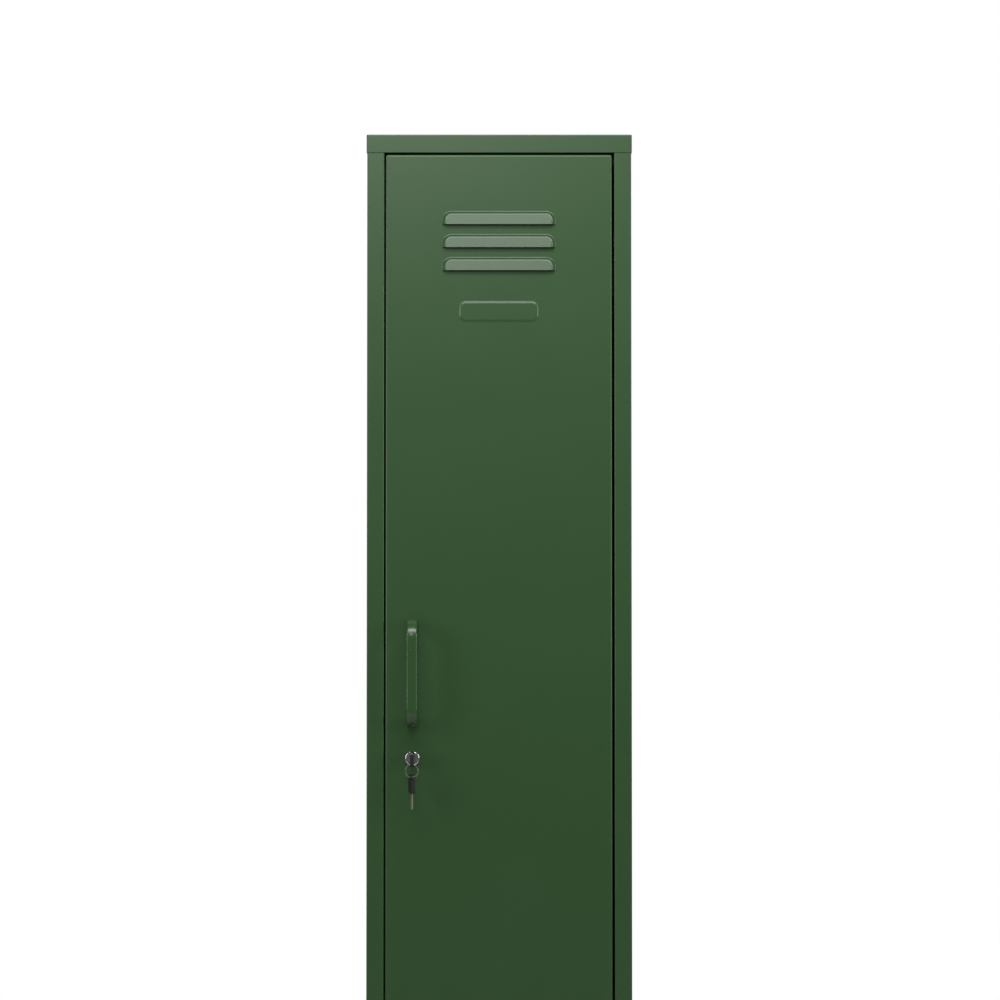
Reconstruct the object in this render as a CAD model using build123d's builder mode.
"""School locker: a tall single-door sheet-steel cabinet with a cam lock and two keys.

Millimetres. +X is right, +Y goes into the locker, +Z is up. The origin is on the floor,
under the middle of the whole object, so the pull's reach in front counts as depth.
"""

from build123d import *
import math
import os

os.makedirs("parts", exist_ok=True)

# ---------------------------------------------------------------- driving dimensions
# Overall
width = 350.0           # over the cap
depth = 460.0           # over the cap, without the pull
height = 1830.0         # floor to the top of the cap
pull_reach = 34.0       # how far the pull stands out in front of the cap

# Sheet work
sheet = 0.8             # every folded panel
bend = 1.6              # outside radius of a fold
seam = 0.05             # air between two sheets that lie face to face
lip_height = 24.0       # turned-down edge of the cap, turned-up edge of the base
post_width = 22.6       # front face of each side panel
rear_flange = 25.0
back_flange = 12.0      # turned-in edges of the back panel
stop_depth = 20.0       # from the front face to the door stop
stop_lip = 12.0         # the stop strip's lip, across the door's opening
stop_leg = 12.0         # its leg, along the post's return
hinge_return = 42.0     # depth of the hinge post's return
rail_channel = 14.0     # depth of the header and the sill
rail_cover = 12.0       # how far they reach past the door's ends

# Door
latch_gap = 2.0         # beside the door on the lock side
hinge_gap = 3.0         # beside the door on the hinge side
end_gap = 2.6           # above and below the door
door_depth = 16.0
door_bend = 2.4         # outside radius of the door's folded edges
door_hem = 12.0
bumper_radius, bumper_edge = 3.6, 1.0
bumper_clearance = 0.3
bumper_inset = 60.0     # door's end to the nearest bumper
hole_clearance = 0.2    # round the lock and the pull's screws
stiffener_foot, stiffener_crown, stiffener_rise = 48.0, 30.0, 11.0
stiffener_margin = 50.0

# Louvres and the blank raised pad
louvre_width = 150.0
louvre_height = 17.0
louvre_pitch = 30.4
louvre_count = 3
louvre_step = 2.6       # height of the steep edge at the top of a hood
louvre_stand = 5.6      # how far the open edge stands out
louvre_corner = 13.0
louvre_taper = 48.0     # degrees that the steep edge leans in
louvre_drop = 119.0     # from the cap's top to the first hood's open edge
pad_width, pad_height, pad_stand = 104.0, 26.0, 1.2
pad_corner, pad_taper = 9.0, 25.0
pad_drop = 234.0        # from the cap's top to the pad's centre

# Hinges
hinge_inset = 9.0       # pivot to the door's edge
hinge_depth = 7.0       # pivot to the door's front face
hinge_height = 50.0
hinge_end = 160.0       # door's end to the middle of the outer hinges
hinge_leaf = 2.0
hinge_wing = 32.0
hinge_notch = 5.0       # the door's notch is longer than the leaf by this
notch_margin = 1.5      # and deeper than the hem by this
leaf_setback = 3.0      # leaf to the stop in front of it, and to the return's end
leg_clearance = 0.2
knuckle_radius = 4.6
knuckle_height = 18.0   # the door's own knuckle, in the middle
knuckle_gap = 0.2       # above and below it
knuckle_clearance = 0.4
pin_radius = 2.0
pin_clearance = 0.05
pin_head_rim, pin_head_height, pin_head_edge = 1.4, 1.2, 0.5
hinge_screw_spacing = 30.0
hinge_screw_setback = 9.0   # screws to the end of the post's return
hinge_screw_head, hinge_screw_dome = 3.6, 1.8
screw_tip = 2.0         # how far a screw comes out behind the sheet
head_round = 0.8        # rounded edge of the screw heads

# Pull
pull_drop = 710.0       # cap's top to the pull's centre
pull_length = 140.0
pull_centres = 128.0
pull_width = 14.0
pull_thickness = 6.0
pull_corner = 24.0
pull_edge = 1.5
pull_bore = 9.0         # depth of its screw holes
pull_screw = 2.0        # radius
pull_screw_head = 2.6   # height
screw_short = 1.0       # a screw stops short of its bore's end by this

# Lock
lock_inset = 35.5       # door's lock edge to the lock's axis
lock_drop = 821.5       # cap's top to the lock's axis
lock_face, lock_edge = 9.3, 1.0     # radius and its rounded rim
lock_flange = 2.5
lock_body = 8.0         # radius
lock_length = 21.0
nut_across, nut_height = 26.0, 4.0  # over the corners
plug_radius = 5.5
plug_clearance = 0.1
plug_collar, plug_collar_depth = 1.0, 1.2
plug_proud = 0.4        # plug in front of the lock's face
plug_tail = 0.6         # plug behind the housing
cam_gap = 0.05          # plug's shoulder to the cam
cam_reach = 35.0
cam_width = 14.0
cam_boss = 1.0          # the cam's eye is wider than its arm by this, all round
cam_thickness = 2.1
cam_square, cam_square_clearance = 6.0, 0.05
cam_screw_radius, cam_screw_length = 2.0, 3.5
cam_screw_head, cam_screw_dome = 4.4, 2.4
cam_screw_bore = 4.0

# Keys and their ring
blade_width, blade_thickness, blade_length = 7.4, 1.8, 20.0
blade_clearance, blade_tip, keyway_spare = 0.15, 1.8, 1.0
bitting_places = (0.35, 0.5, 0.65, 0.8)     # shares of the blade's length
bitting_width, bitting_depths = 1.4, (1.2, 1.8, 0.9, 1.5)
head_width, head_length, head_thickness = 19.5, 24.8, 5.0
head_gap = 1.2          # key head to the lock's face
head_web = 3.0          # thickness beside the ring slot
head_bridge = 1.35      # beyond the slot's ends
head_corner, head_edge = 4.5, 0.8
tang_length = 8.0
slot_width, slot_setback = 2.8, 3.6         # slot and its middle to the head's end
slot_margin = 1.5       # thinned web on each side of the slot
ring_radius = 8.8       # outside
ring_wire, ring_depth = 1.2, 1.8
ring_round = 0.3
ring_play = 0.06        # ring to the heads' corners
spare_turn = 15.0       # degrees about Z

# Inside
shelf_drop = 320.0      # cap's top to the shelf's top
shelf_lip = 20.0
shelf_side_gap = 1.6
shelf_front_gap = 6.0   # hinge return to the shelf
shelf_back_gap = 1.0
shelf_clip = 18.0
clip_sheet, clip_setback = 1.5, 40.0
rail_drop = 60.0        # shelf's top to the rail's axis
rail_radius, rail_wall = 9.0, 1.5
rail_play = 0.5         # rail's end to the socket's floor
socket_radius, socket_rim = 16.0, 3.0       # flange radius and wall round the rail
socket_depth, socket_floor = 12.0, 3.0
hook_wire = 2.5         # radius
hook_play = 0.3
hook_bowl = 14.0
hook_shank = 20.0
hook_spacing = 120.0
hook_wrap, hook_turn = 225.0, 200.0         # degrees over the rail and round the bowl

# Base
foot_height = 12.0
foot_radius, foot_chamfer = 17.0, 1.5
foot_inset = 48.0
stud_radius = 4.0
stud_clearance = 0.1
snap_rim, snap_height, snap_taper = 2.0, 2.5, 20.0

# Wall fixing
wall_hole = 3.25        # radius
wall_spacing = 200.0
wall_drop = 90.0        # cap's top to the holes

# ---------------------------------------------------------------- derived places
half = sheet / 2
fold = bend - half                              # fold radius on the sheet's middle
skin = sheet + seam
front = (pull_reach - depth) / 2
back = front + depth
body_front, body_back = front + skin, back - skin
body_half = width / 2 - skin
panel_bottom, panel_top = foot_height + bend + seam, height - bend - seam
opening_half = body_half - post_width
door_left, door_right = latch_gap - opening_half, opening_half - hinge_gap
door_bottom = foot_height + lip_height + end_gap
door_top = height - lip_height - end_gap
door_back = body_front + door_depth
stop_front = body_front + stop_depth
pivot_x = door_right - hinge_inset
pivot_y = body_front + hinge_depth
hinge_levels = {"top": door_top - hinge_end, "middle": (door_top + door_bottom) / 2,
                "bottom": door_bottom + hinge_end}
door_mid = (door_left + door_right) / 2
lock_x, lock_z = door_left + lock_inset, height - lock_drop
pull_z = height - pull_drop
pull_levels = [pull_z - pull_centres / 2, pull_z + pull_centres / 2]
shelf_top = height - shelf_drop
shelf_front = body_front + hinge_return + shelf_front_gap
shelf_back = body_back - 2 * skin - shelf_back_gap


def facing_x(x, y, z):
    """A plane at a point, looking along +X."""
    return Plane(origin=(x, y, z), x_dir=(0, 1, 0), z_dir=(1, 0, 0))


def facing_y(x, y, z):
    """A plane at a point, looking along +Y."""
    return Plane(origin=(x, y, z), x_dir=(1, 0, 0), z_dir=(0, 1, 0))


def finish(builder, label):
    """Label a finished piece and write its file."""
    builder.part.label = label
    export_step(builder.part, f"parts/{label}.step")


# ---------------------------------------------------------------- cap and base
with BuildPart() as top_cap:
    with BuildSketch(Plane.XY.offset(height)):
        with Locations((0, (front + back) / 2)):
            Rectangle(width, depth)
    extrude(amount=-lip_height)
    fillet(top_cap.edges().filter_by(Axis.Z), bend)
    fillet(top_cap.faces().sort_by(Axis.Z)[-1].edges(), bend)
    offset(amount=-sheet, openings=top_cap.faces().sort_by(Axis.Z)[0])
finish(top_cap, "top_cap")

foot_places = {
    "front_left": (foot_inset - width / 2, front + foot_inset),
    "front_right": (width / 2 - foot_inset, front + foot_inset),
    "back_left": (foot_inset - width / 2, back - foot_inset),
    "back_right": (width / 2 - foot_inset, back - foot_inset),
}

with BuildPart() as base_tray:
    with BuildSketch(Plane.XY.offset(foot_height)):
        with Locations((0, (front + back) / 2)):
            Rectangle(width, depth)
    extrude(amount=lip_height)
    fillet(base_tray.edges().filter_by(Axis.Z), bend)
    fillet(base_tray.faces().sort_by(Axis.Z)[0].edges(), bend)
    offset(amount=-sheet, openings=base_tray.faces().sort_by(Axis.Z)[-1])
    with BuildSketch(Plane.XY.offset(foot_height)):
        with Locations(*foot_places.values()):
            Circle(stud_radius + stud_clearance)
    extrude(amount=sheet, mode=Mode.SUBTRACT)
finish(base_tray, "base_tray")

# Moulded feet: a pad under the tray, a stud through it and a snap head above
for place, (foot_x, foot_y) in foot_places.items():
    with BuildPart() as foot:
        with BuildSketch(Plane.XY):
            with Locations((foot_x, foot_y)):
                Circle(foot_radius)
        extrude(amount=foot_height)
        chamfer(foot.faces().sort_by(Axis.Z)[0].edges(), foot_chamfer)
        with BuildSketch(Plane.XY.offset(foot_height)):
            with Locations((foot_x, foot_y)):
                Circle(stud_radius)
        extrude(amount=sheet)
        with BuildSketch(Plane.XY.offset(foot_height + sheet)):
            with Locations((foot_x, foot_y)):
                Circle(stud_radius + snap_rim)
        extrude(amount=snap_height, taper=snap_taper)
    finish(foot, f"foot_{place}")

# ---------------------------------------------------------------- side panels
panel_height = panel_top - panel_bottom
side_x = body_half - half
side_y = body_front + half
rear_y = body_back - half
return_x = opening_half + half

with BuildPart() as side_left:
    with BuildSketch(Plane.XY.offset(panel_bottom)):
        with BuildLine():
            FilletPolyline(
                (rear_flange - body_half, rear_y),
                (-side_x, rear_y),
                (-side_x, side_y),
                (-return_x, side_y),
                (-return_x, stop_front + stop_leg),
                radius=fold,
            )
        trace(line_width=sheet)
    extrude(amount=panel_height)
finish(side_left, "side_left")

# Stop strip: an angle inside the lock post's return, whose lip the door closes against
strip_x = seam + half - opening_half
with BuildPart() as stop_strip:
    with BuildSketch(Plane.XY.offset(panel_bottom)):
        with BuildLine():
            FilletPolyline((strip_x, stop_front + stop_leg), (strip_x, stop_front + half),
                           (stop_lip - opening_half, stop_front + half), radius=fold)
        trace(line_width=sheet)
    extrude(amount=panel_height)
finish(stop_strip, "stop_strip")

screw_y = body_front + hinge_return - hinge_screw_setback
screw_pair = (-hinge_screw_spacing / 2, hinge_screw_spacing / 2)
screw_levels = [level + dz for level in hinge_levels.values() for dz in screw_pair]

with BuildPart() as side_right:
    with BuildSketch(Plane.XY.offset(panel_bottom)):
        with BuildLine():
            FilletPolyline(
                (body_half - rear_flange, rear_y),
                (side_x, rear_y),
                (side_x, side_y),
                (return_x, side_y),
                (return_x, body_front + hinge_return),
                radius=fold,
            )
        trace(line_width=sheet)
    extrude(amount=panel_height)
    with Locations(*[facing_x(return_x, screw_y, level) for level in screw_levels]):
        Cylinder(pin_radius + pin_clearance, 4 * sheet, mode=Mode.SUBTRACT)
finish(side_right, "side_right")

# ---------------------------------------------------------------- back, header and sill
back_half = body_half - skin
back_y = body_back - skin - half

with BuildPart() as back_panel:
    with BuildSketch(Plane.XY.offset(panel_bottom)):
        with BuildLine():
            FilletPolyline(
                (half - back_half, back_y - back_flange),
                (half - back_half, back_y),
                (back_half - half, back_y),
                (back_half - half, back_y - back_flange),
                radius=fold,
            )
        trace(line_width=sheet)
    extrude(amount=panel_height)
    with Locations(
        *[facing_y(x, back_y, height - wall_drop) for x in (-wall_spacing / 2, wall_spacing / 2)]
    ):
        Cylinder(wall_hole, 4 * sheet, mode=Mode.SUBTRACT)
finish(back_panel, "back_panel")

# Header and sill: folded rails behind the ends of the door, between the post returns
rail_left, rail_right = bend + 2 * seam - opening_half, opening_half - seam
rail_y = stop_front + skin + half
ends = {"header": (door_top, panel_top, 1), "sill": (door_bottom, panel_bottom, -1)}
for name, (door_end, panel_end, up) in ends.items():
    with BuildPart() as cross_rail:
        with BuildSketch(Plane.YZ.offset(rail_left)):
            with BuildLine():
                FilletPolyline(
                    (rail_y + rail_channel, door_end - up * (rail_cover - half)),
                    (rail_y, door_end - up * (rail_cover - half)),
                    (rail_y, panel_end - up * half),
                    (rail_y + rail_channel, panel_end - up * half),
                    radius=fold,
                )
            trace(line_width=sheet)
        extrude(amount=rail_right - rail_left)
    finish(cross_rail, name)

# Rubber bumpers on the stop lip
bumper_x = stop_lip / 2 - opening_half
bumper_levels = [door_top - bumper_inset, (door_top + lock_z) / 2,
                 (door_bottom + lock_z) / 2, door_bottom + bumper_inset]
for number, level in enumerate(bumper_levels, 1):
    with BuildPart() as bumper:
        with BuildSketch(facing_y(bumper_x, door_back + bumper_clearance, level)):
            Circle(bumper_radius)
        extrude(amount=stop_front - door_back - bumper_clearance)
        fillet(bumper.faces().sort_by(Axis.Y)[0].edges(), bumper_edge)
    finish(bumper, f"bumper_{number}")

# ---------------------------------------------------------------- door
door_width = door_right - door_left
door_height = door_top - door_bottom
door_mid_z = (door_top + door_bottom) / 2
top_edges = [height - louvre_drop - i * louvre_pitch for i in range(louvre_count)]
foot_edges = [door_bottom + (door_top - edge) - louvre_height for edge in top_edges]
louvre_edges = top_edges + foot_edges
hood_slope = math.degrees(math.atan2(louvre_stand - louvre_step, louvre_height))


def louvre_hood(edge, inset):
    """A hood as a solid block, drawn in all round by the inset, flat across its open edge."""
    left, right = door_mid - louvre_width / 2 + inset, door_mid + louvre_width / 2 - inset
    crown, shoulder = edge + louvre_height - inset, edge + louvre_height - louvre_corner
    below, corner = edge - 3 * louvre_stand, louvre_corner - inset
    stand = louvre_stand - inset
    with BuildPart() as hood:
        with BuildSketch(Plane.XZ.offset(-(body_front + sheet))):
            with BuildLine():
                Polyline((left, shoulder), (left, below), (right, below), (right, shoulder))
                Line((left + corner, crown), (right - corner, crown))
                RadiusArc((left, shoulder), (left + corner, crown), corner)
                RadiusArc((right - corner, crown), (right, shoulder), corner)
            make_face()
        extrude(amount=louvre_stand + 2 * sheet, taper=louvre_taper)
        slope = Plane(origin=(0, body_front - stand, edge), x_dir=(1, 0, 0), z_dir=(0, -1, 0))
        split(bisect_by=slope.rotated((-hood_slope, 0, 0)), keep=Keep.BOTTOM)
        split(bisect_by=Plane.XY.offset(edge), keep=Keep.TOP)
    return hood.part


hood_blocks = [(louvre_hood(edge, 0.0), louvre_hood(edge, sheet)) for edge in louvre_edges]

with BuildPart() as door_panel:
    with BuildSketch(Plane.XZ.offset(-door_back)):
        with Locations((door_mid, door_mid_z)):
            Rectangle(door_width, door_height)
    extrude(amount=door_depth)
    fillet(door_panel.faces().sort_by(Axis.Y)[0].edges(), door_bend)
    offset(amount=-sheet, openings=door_panel.faces().sort_by(Axis.Y)[-1])
    with BuildSketch(Plane.XZ.offset(-door_back)):
        with Locations((door_mid, door_mid_z)):
            Rectangle(door_width, door_height)
            Rectangle(door_width - 2 * door_hem, door_height - 2 * door_hem, mode=Mode.SUBTRACT)
    extrude(amount=sheet)
    # Notches in the hinge edge, for the frame leaves to stand in
    with Locations(*[(door_right, body_front + door_bend, level) for level in hinge_levels.values()]):
        Box(2 * (door_hem + notch_margin), 2 * door_depth, hinge_height + hinge_notch,
            align=(Align.CENTER, Align.MIN, Align.CENTER), mode=Mode.SUBTRACT)
    # Lock and pull holes
    with Locations(facing_y(lock_x, body_front, lock_z)):
        Cylinder(lock_body + hole_clearance, 4 * sheet, mode=Mode.SUBTRACT)
    with Locations(*[facing_y(lock_x, body_front, level) for level in pull_levels]):
        Cylinder(pull_screw + hole_clearance, 4 * sheet, mode=Mode.SUBTRACT)
    # Blank raised pad, pressed out of the sheet
    for inset, mode in ((0.0, Mode.ADD), (sheet, Mode.SUBTRACT)):
        with BuildSketch(Plane.XZ.offset(-(body_front + inset))):
            with Locations((door_mid, height - pad_drop)):
                RectangleRounded(pad_width - 2 * inset, pad_height - 2 * inset, pad_corner - inset)
        extrude(amount=pad_stand, taper=pad_taper, mode=mode)
    # Louvres: each hood is pressed out of the sheet and open along its lower edge
    for outer_block, inner_block in hood_blocks:
        add(outer_block)
        add(inner_block, mode=Mode.SUBTRACT)
finish(door_panel, "door_panel")

# Hat channel down the middle of the door, between the two sets of louvres
stiffener_y = body_front + skin + half
stiffener_low = max(foot_edges) + louvre_height + stiffener_margin
stiffener_high = height - pad_drop - pad_height / 2 - stiffener_margin
with BuildPart() as door_stiffener:
    with BuildSketch(Plane.XY.offset(stiffener_low)):
        with BuildLine():
            FilletPolyline(
                (door_mid - stiffener_foot, stiffener_y), (door_mid - stiffener_crown, stiffener_y),
                (door_mid - stiffener_crown, stiffener_y + stiffener_rise),
                (door_mid + stiffener_crown, stiffener_y + stiffener_rise),
                (door_mid + stiffener_crown, stiffener_y), (door_mid + stiffener_foot, stiffener_y),
                radius=fold,
            )
        trace(line_width=sheet)
    extrude(amount=stiffener_high - stiffener_low)
finish(door_stiffener, "door_stiffener")

# ---------------------------------------------------------------- hinges
leaf_back = stop_front + hinge_leaf + leaf_setback
leaf_end = body_front + hinge_return - leaf_setback
leg_x = pivot_x - knuckle_radius + hinge_leaf / 2 + leg_clearance
mount_x = opening_half - seam - hinge_leaf / 2
head_plane_x = mount_x - hinge_leaf / 2

for name, level in hinge_levels.items():
    low = level - hinge_height / 2
    # Frame leaf: screwed to the post's return, with the outer two knuckles
    with BuildPart() as frame_leaf:
        with BuildSketch(Plane.XY.offset(low)):
            with BuildLine():
                FilletPolyline((leg_x, pivot_y), (leg_x, leaf_back), (mount_x, leaf_back),
                               (mount_x, leaf_end), radius=hinge_leaf)
            trace(line_width=hinge_leaf)
            with Locations((pivot_x, pivot_y)):
                Circle(knuckle_radius)
        extrude(amount=hinge_height)
        with Locations((pivot_x, pivot_y, level)):
            Cylinder(knuckle_radius + knuckle_clearance, knuckle_height + 2 * knuckle_gap,
                     mode=Mode.SUBTRACT)
            Cylinder(pin_radius + pin_clearance, 2 * hinge_height, mode=Mode.SUBTRACT)
        with Locations(*[facing_x(mount_x, screw_y, level + dz) for dz in screw_pair]):
            Cylinder(pin_radius + pin_clearance, 3 * hinge_leaf, mode=Mode.SUBTRACT)
    finish(frame_leaf, f"frame_leaf_{name}")

    # Door leaf: welded inside the door's face, with the middle knuckle
    with BuildPart() as door_leaf:
        with BuildSketch(Plane.XY.offset(low)):
            with Locations((pivot_x, body_front + skin)):
                Rectangle(hinge_wing, hinge_leaf, align=(Align.MAX, Align.MIN))
        extrude(amount=hinge_height)
        with Locations((pivot_x, pivot_y, level)):
            Cylinder(knuckle_radius + knuckle_clearance, 2 * hinge_height, mode=Mode.SUBTRACT)
            Cylinder(knuckle_radius, knuckle_height)
            Cylinder(pin_radius + pin_clearance, 2 * hinge_height, mode=Mode.SUBTRACT)
        with BuildSketch(Plane.XY.offset(level - knuckle_height / 2)):
            with Locations((pivot_x - knuckle_radius, body_front + skin)):
                Rectangle(2 * knuckle_radius, hinge_leaf, align=(Align.CENTER, Align.MIN))
        extrude(amount=knuckle_height)
    finish(door_leaf, f"door_leaf_{name}")

    with BuildPart() as hinge_pin:
        with Locations((pivot_x, pivot_y, level)):
            Cylinder(pin_radius, hinge_height + 2 * seam)
        with Locations((pivot_x, pivot_y, level + hinge_height / 2 + seam)):
            Cylinder(pin_radius + pin_head_rim, pin_head_height,
                     align=(Align.CENTER, Align.CENTER, Align.MIN))
        fillet(hinge_pin.faces().sort_by(Axis.Z)[-1].edges(), pin_head_edge)
    finish(hinge_pin, f"hinge_pin_{name}")

    with BuildPart() as hinge_screws:
        with Locations(*[facing_x(head_plane_x, screw_y, level + dz) for dz in screw_pair]):
            Cylinder(pin_radius, hinge_leaf + sheet + screw_tip,
                     align=(Align.CENTER, Align.CENTER, Align.MIN))
            Cylinder(hinge_screw_head, hinge_screw_dome,
                     align=(Align.CENTER, Align.CENTER, Align.MAX))
        fillet(hinge_screws.faces().filter_by(Axis.X).group_by(Axis.X)[0].edges(), head_round)
    finish(hinge_screws, f"hinge_screws_{name}")

# ---------------------------------------------------------------- pull
pull_front = front - pull_reach
pull_leg = pull_length - pull_centres
with BuildPart() as door_pull:
    with BuildSketch(Plane.YZ.offset(lock_x - pull_width / 2)) as bow:
        with Locations((body_front, pull_z)):
            Rectangle(body_front - pull_front, pull_length, align=(Align.MAX, Align.CENTER))
        fillet(bow.vertices().group_by(Axis.X)[0], pull_corner)
    extrude(amount=pull_width)
    fillet(door_pull.faces().filter_by(Axis.X).edges().group_by(Axis.Y)[:-1], pull_edge)
    with BuildSketch(Plane.YZ.offset(lock_x - pull_width / 2)) as window:
        with Locations((body_front, pull_z)):
            Rectangle(body_front - pull_front - pull_thickness, pull_length - 2 * pull_leg,
                      align=(Align.MAX, Align.CENTER))
        fillet(window.vertices().group_by(Axis.X)[0], pull_corner - pull_thickness)
    extrude(amount=pull_width, mode=Mode.SUBTRACT)
    with Locations(*[facing_y(lock_x, body_front, level) for level in pull_levels]):
        Cylinder(pull_screw + pin_clearance, 2 * pull_bore, mode=Mode.SUBTRACT)
finish(door_pull, "door_pull")

for name, level in zip(("low", "high"), pull_levels):
    with BuildPart() as pull_bolt:
        with Locations(facing_y(lock_x, body_front + sheet, level)):
            Cylinder(pull_screw, sheet + pull_bore - screw_short,
                     align=(Align.CENTER, Align.CENTER, Align.MAX))
            Cylinder(2 * pull_screw, pull_screw_head, align=(Align.CENTER, Align.CENTER, Align.MIN))
        fillet(pull_bolt.faces().sort_by(Axis.Y)[-1].edges(), head_round)
    finish(pull_bolt, f"pull_screw_{name}")

# ---------------------------------------------------------------- cam lock
lock_front = body_front - lock_flange           # the lock's face
plug_front = lock_front - plug_proud
lock_back = body_front + lock_length
plug_back = lock_back + plug_tail
cam_front = plug_back + cam_gap
key_stop = lock_front - head_gap                # where the key's head ends
collar_radius = plug_radius + plug_collar

with BuildPart() as lock_housing:
    with Locations(facing_y(lock_x, body_front, lock_z)):
        Cylinder(lock_face, lock_flange, align=(Align.CENTER, Align.CENTER, Align.MAX))
        Cylinder(lock_body, lock_length, align=(Align.CENTER, Align.CENTER, Align.MIN))
    fillet(lock_housing.faces().sort_by(Axis.Y)[0].edges(), lock_edge)
    with Locations(facing_y(lock_x, lock_front, lock_z)):
        Cylinder(plug_radius + plug_clearance, 3 * lock_length, mode=Mode.SUBTRACT)
        Cylinder(collar_radius + plug_clearance, 2 * (plug_collar_depth + plug_clearance),
                 mode=Mode.SUBTRACT)
finish(lock_housing, "lock_housing")

with BuildPart() as lock_nut:
    with BuildSketch(facing_y(lock_x, body_front + sheet, lock_z)):
        RegularPolygon(nut_across / 2, 6)
        Circle(lock_body + pin_clearance, mode=Mode.SUBTRACT)
    extrude(amount=nut_height)
finish(lock_nut, "lock_nut")

with BuildPart() as lock_plug:
    with Locations(facing_y(lock_x, plug_front, lock_z)):
        Cylinder(collar_radius, plug_collar_depth + plug_proud,
                 align=(Align.CENTER, Align.CENTER, Align.MIN))
        Cylinder(plug_radius, plug_back - plug_front, align=(Align.CENTER, Align.CENTER, Align.MIN))
    with BuildSketch(facing_y(lock_x, plug_back, lock_z)):
        Rectangle(cam_square, cam_square)
    extrude(amount=cam_gap + cam_thickness)
    with BuildSketch(facing_y(lock_x, plug_front, lock_z)):
        Rectangle(blade_thickness + 2 * blade_clearance, blade_width + 2 * blade_clearance)
    extrude(amount=key_stop - plug_front + blade_length + keyway_spare, mode=Mode.SUBTRACT)
    with Locations(facing_y(lock_x, cam_front + cam_thickness, lock_z)):
        Cylinder(cam_screw_radius + pin_clearance, 2 * cam_screw_bore, mode=Mode.SUBTRACT)
finish(lock_plug, "lock_plug")

with BuildPart() as lock_cam:
    with BuildSketch(facing_y(lock_x, cam_front, lock_z)):
        Circle(cam_width / 2 + cam_boss)
        # The arm hangs down; the local Y of this plane points along -Z
        with Locations((0, (cam_reach - cam_width / 2) / 2)):
            Rectangle(cam_width, cam_reach - cam_width / 2)
        with Locations((0, cam_reach - cam_width / 2)):
            Circle(cam_width / 2)
        cam_hole = cam_square + 2 * cam_square_clearance
        Rectangle(cam_hole, cam_hole, mode=Mode.SUBTRACT)
    extrude(amount=cam_thickness)
finish(lock_cam, "lock_cam")

with BuildPart() as cam_screw:
    with Locations(facing_y(lock_x, cam_front + cam_thickness, lock_z)):
        Cylinder(cam_screw_radius, cam_screw_length, align=(Align.CENTER, Align.CENTER, Align.MAX))
        Cylinder(cam_screw_head, cam_screw_dome, align=(Align.CENTER, Align.CENTER, Align.MIN))
    fillet(cam_screw.faces().sort_by(Axis.Y)[-1].edges(), head_round)
finish(cam_screw, "cam_screw")

# ---------------------------------------------------------------- keys and ring
# The ring hangs from the lower bridge of the lock key's slot, and the spare key hangs from
# the ring by the outer edge of its own slot.
slot_y = key_stop - head_length + slot_setback
bridge_z = lock_z - (head_width - head_bridge) / 2
ring_inner = ring_radius - ring_wire
ring_z = bridge_z - ring_inner + math.hypot(head_web / 2, head_bridge / 2) + ring_play
wire_z = ring_z - ring_radius + ring_wire / 2   # the ring's lowest stretch of wire
wire_reach = math.hypot(ring_wire, ring_depth) / 2 + ring_play
spare_stop = wire_z + wire_reach - slot_width / 2 + slot_setback - head_length


def make_key(place, prefix):
    """A key in a plane: its head ends at the origin, X runs along the blade, Z through it."""
    across = Axis((0, 0, 0), place.z_dir)
    along = Axis((0, 0, 0), place.x_dir)
    with BuildPart() as key_plastic:
        with BuildSketch(place.offset(-head_thickness / 2)) as outline:
            with Locations((-head_length / 2, 0)):
                Rectangle(head_length, head_width)
            fillet(outline.vertices(), head_corner)
        extrude(amount=head_thickness)
        fillet(key_plastic.faces().filter_by(across).edges(), head_edge)
        # The web beside the slot is thinned from both faces, then the slot is cut through
        for side in (-1, 1):
            with BuildSketch(place.offset(side * head_thickness / 2)):
                with Locations((slot_setback - head_length, 0)):
                    Rectangle(slot_width + 2 * slot_margin, 2 * head_width)
            extrude(amount=-side * (head_thickness - head_web) / 2, mode=Mode.SUBTRACT)
        with BuildSketch(place.offset(-head_thickness)):
            with Locations((slot_setback - head_length, 0)):
                Rectangle(slot_width, head_width - 2 * head_bridge)
        extrude(amount=2 * head_thickness, mode=Mode.SUBTRACT)
        with BuildSketch(place.offset(-blade_thickness / 2)):
            Rectangle(2 * tang_length, blade_width)
        extrude(amount=blade_thickness, mode=Mode.SUBTRACT)
    finish(key_plastic, f"{prefix}_head")

    with BuildPart() as key_metal:
        with BuildSketch(place.offset(-blade_thickness / 2)):
            with Locations((-tang_length, 0)):
                Rectangle(tang_length + blade_length, blade_width, align=(Align.MIN, Align.CENTER))
            for share, cut in zip(bitting_places, bitting_depths):
                with Locations((blade_length * share, -blade_width / 2)):
                    Rectangle(bitting_width, 2 * cut, mode=Mode.SUBTRACT)
        extrude(amount=blade_thickness)
        chamfer(key_metal.edges().filter_by(across).group_by(along)[-1], blade_tip)
    finish(key_metal, f"{prefix}_blade")


make_key(Plane(origin=(lock_x, key_stop, lock_z), x_dir=(0, 1, 0), z_dir=(1, 0, 0)), "key")
turn = math.radians(spare_turn)
spare_normal = (math.cos(turn), math.sin(turn), 0)
make_key(Plane(origin=(lock_x, slot_y, spare_stop), x_dir=(0, 0, -1), z_dir=spare_normal), "spare")

with BuildPart() as key_ring:
    with BuildSketch(facing_y(lock_x, slot_y - ring_depth / 2, ring_z)):
        Circle(ring_radius)
        Circle(ring_inner, mode=Mode.SUBTRACT)
    extrude(amount=ring_depth)
    fillet(key_ring.edges(), ring_round)
finish(key_ring, "key_ring")

# ---------------------------------------------------------------- shelf, rail and coat hooks
inner_half = body_half - sheet
shelf_half = inner_half - shelf_side_gap

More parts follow.
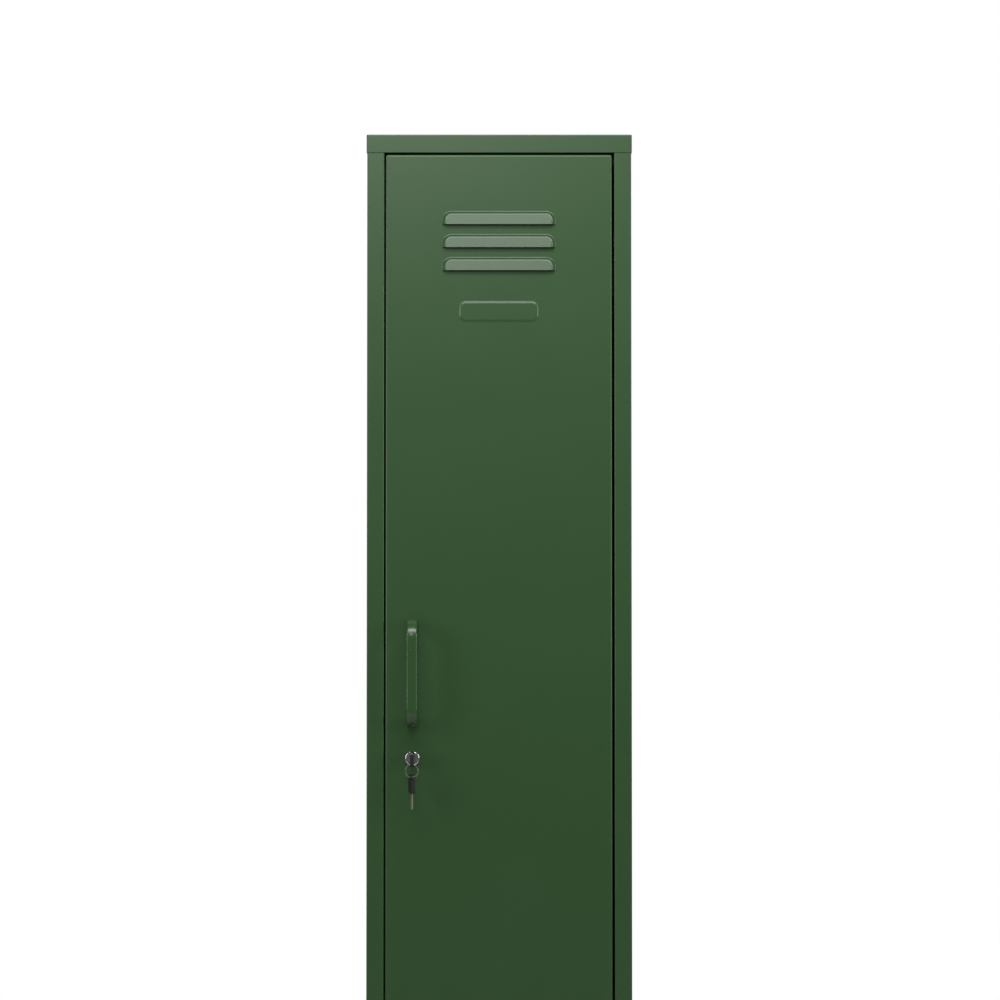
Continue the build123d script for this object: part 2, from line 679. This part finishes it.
with BuildPart() as hat_shelf:
    with BuildSketch(Plane.XY.offset(shelf_top)):
        with Locations((0, shelf_front)):
            Rectangle(2 * shelf_half, shelf_back - shelf_front, align=(Align.CENTER, Align.MIN))
    extrude(amount=-shelf_lip)
    fillet(hat_shelf.faces().sort_by(Axis.Z)[-1].edges(), bend)
    offset(amount=-sheet, openings=hat_shelf.faces().sort_by(Axis.Z)[0])
finish(hat_shelf, "hat_shelf")

clip_rows = {"front": shelf_front + clip_setback, "back": shelf_back - clip_setback}
for side, sign in {"left": -1, "right": 1}.items():
    for row, clip_y in clip_rows.items():
        with BuildPart() as clip:
            with BuildSketch(Plane.XZ.offset(-(clip_y - shelf_clip / 2))):
                with BuildLine():
                    FilletPolyline(
                        (sign * (inner_half - clip_sheet / 2), shelf_top - shelf_lip - shelf_clip),
                        (sign * (inner_half - clip_sheet / 2), shelf_top - shelf_lip - clip_sheet / 2),
                        (sign * (inner_half - shelf_clip), shelf_top - shelf_lip - clip_sheet / 2),
                        radius=clip_sheet,
                    )
                trace(line_width=clip_sheet)
            extrude(amount=-shelf_clip)
        finish(clip, f"shelf_clip_{row}_{side}")

rail_y_mid = (shelf_front + shelf_back) / 2
rail_z = shelf_top - rail_drop
rail_end = inner_half - socket_floor - rail_play

with BuildPart() as coat_rail:
    with BuildSketch(facing_x(-rail_end, rail_y_mid, rail_z)):
        Circle(rail_radius)
        Circle(rail_radius - rail_wall, mode=Mode.SUBTRACT)
    extrude(amount=2 * rail_end)
finish(coat_rail, "coat_rail")

for side, sign in {"left": -1, "right": 1}.items():
    with BuildPart() as socket:
        with BuildSketch(facing_x(sign * inner_half, rail_y_mid, rail_z)):
            Circle(socket_radius)
        extrude(amount=-sign * socket_floor)
        with BuildSketch(facing_x(sign * (inner_half - socket_floor), rail_y_mid, rail_z)):
            Circle(rail_radius + socket_rim)
            Circle(rail_radius + pin_clearance, mode=Mode.SUBTRACT)
        extrude(amount=-sign * (socket_depth - socket_floor))
    finish(socket, f"rail_socket_{side}")

# Each hook: a round bar that rides over the rail, drops, and turns up into a bowl
hook_radius = rail_radius + hook_play + hook_wire
for number, sign in enumerate((-1, 1), 1):
    with BuildPart() as coat_hook:
        with BuildLine(Plane(origin=(sign * hook_spacing / 2, rail_y_mid, rail_z),
                             x_dir=(0, 1, 0), z_dir=(1, 0, 0))) as route:
            over = CenterArc((0, 0), hook_radius, hook_wrap, -hook_wrap)
            Line(over @ 1, (hook_radius, -hook_shank))
            CenterArc((hook_radius - hook_bowl, -hook_shank), hook_bowl, 0, -hook_turn)
        with BuildSketch(Plane(origin=route.line @ 0, z_dir=route.line % 0)):
            Circle(hook_wire)
        sweep(path=route.line)
    finish(coat_hook, f"coat_hook_{number}")
